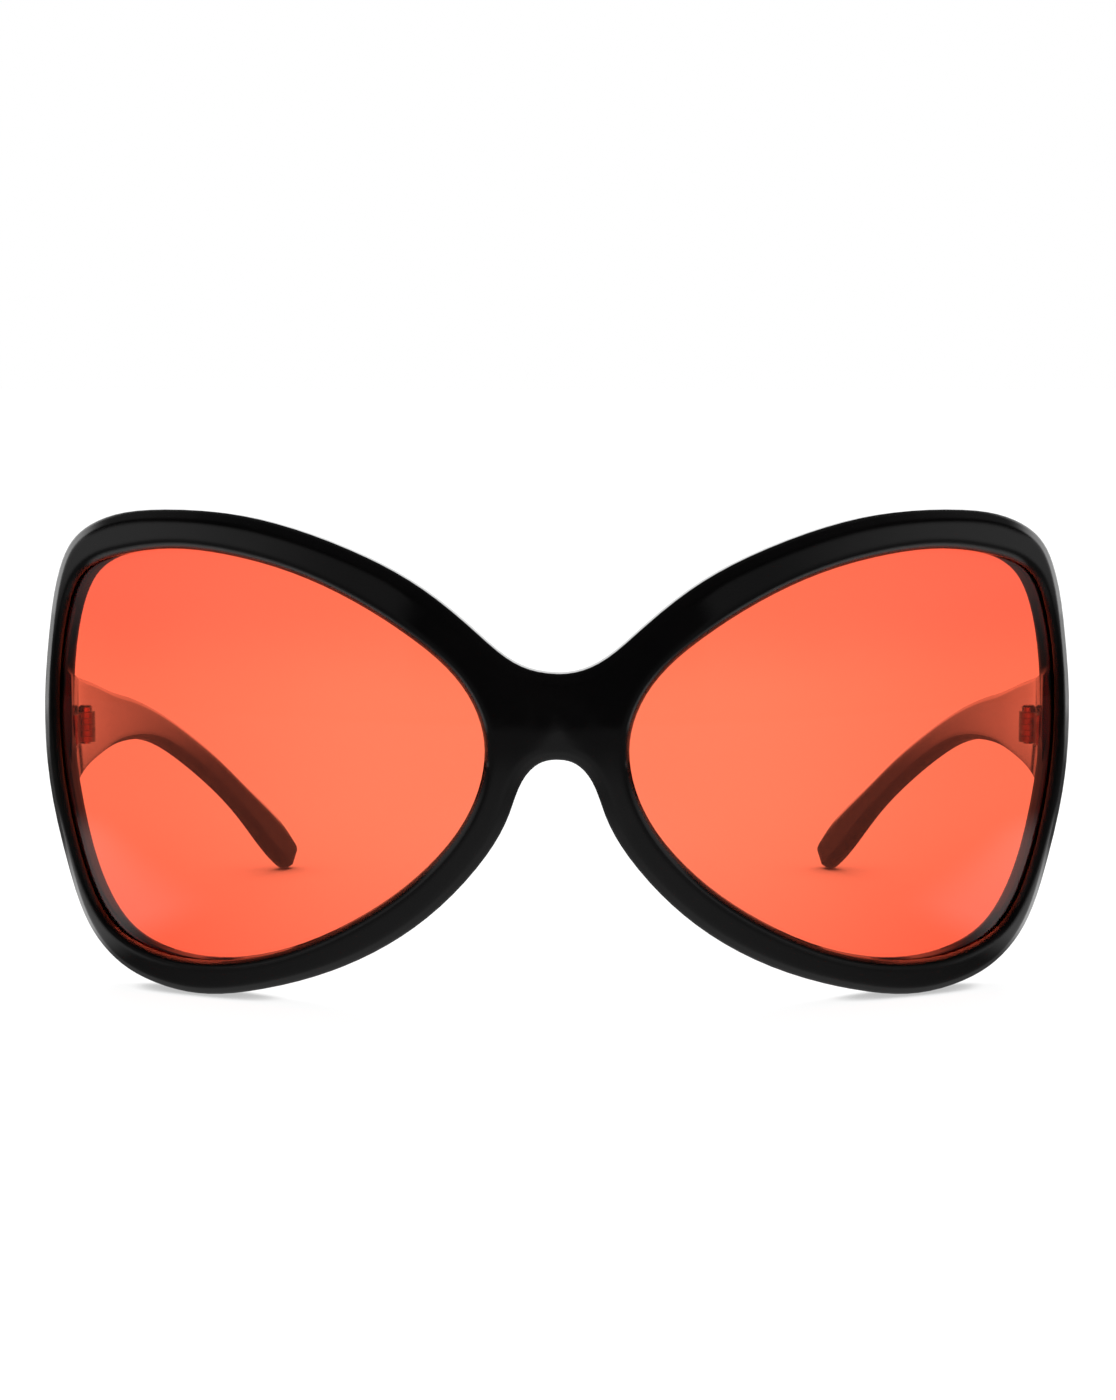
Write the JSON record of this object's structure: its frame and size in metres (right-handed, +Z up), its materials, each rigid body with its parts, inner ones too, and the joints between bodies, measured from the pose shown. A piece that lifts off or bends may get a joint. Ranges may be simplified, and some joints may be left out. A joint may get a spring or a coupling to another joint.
{
  "type": "butterfly sunglasses",
  "caption": "Oversized wraparound butterfly sunglasses with a glossy black moulded frame, red-orange tinted lenses and folding temples on barrel hinges.",
  "frame": {"origin": "on the surface it stands on, in the middle of the width and of the depth from the bridge's front to the temple tips", "axes": "+X to the wearer's left across the face, the lenses look along -Y and the temples run back along +Y, +Z up from the cheeks to the brow"},
  "size_m": [0.15, 0.1406, 0.0702],
  "materials": {
    "frame_plastic": "polished black",
    "temple_plastic": "polished black",
    "lens_tint": "polished, red-orange tint through its thickness",
    "hinge_steel": "satin",
    "screw_steel": "bright"
  },
  "bodies": {
    "front": {"front_frame": "frame_plastic", "lens_left": "lens_tint", "lens_right": "lens_tint", "rim_hinge_left": "hinge_steel", "rim_hinge_right": "hinge_steel", "hinge_screw_left": "screw_steel", "hinge_screw_right": "screw_steel"},
    "temple_left": {"temple_left": "temple_plastic", "temple_hinge_left": "hinge_steel"},
    "temple_right": {"temple_right": "temple_plastic", "temple_hinge_right": "hinge_steel"}
  },
  "joints": [
    {"name": "temple_left_fold", "type": "hinge", "parent": "front", "child": "temple_left", "pos_m": [0.06945, -0.03431, 0.03718], "axis": [0, 0, 1], "range_deg": [0, 87]},
    {"name": "temple_right_fold", "type": "hinge", "parent": "front", "child": "temple_right", "pos_m": [-0.06945, -0.03431, 0.03718], "axis": [0, 0, -1], "range_deg": [0, 80]}
  ]
}
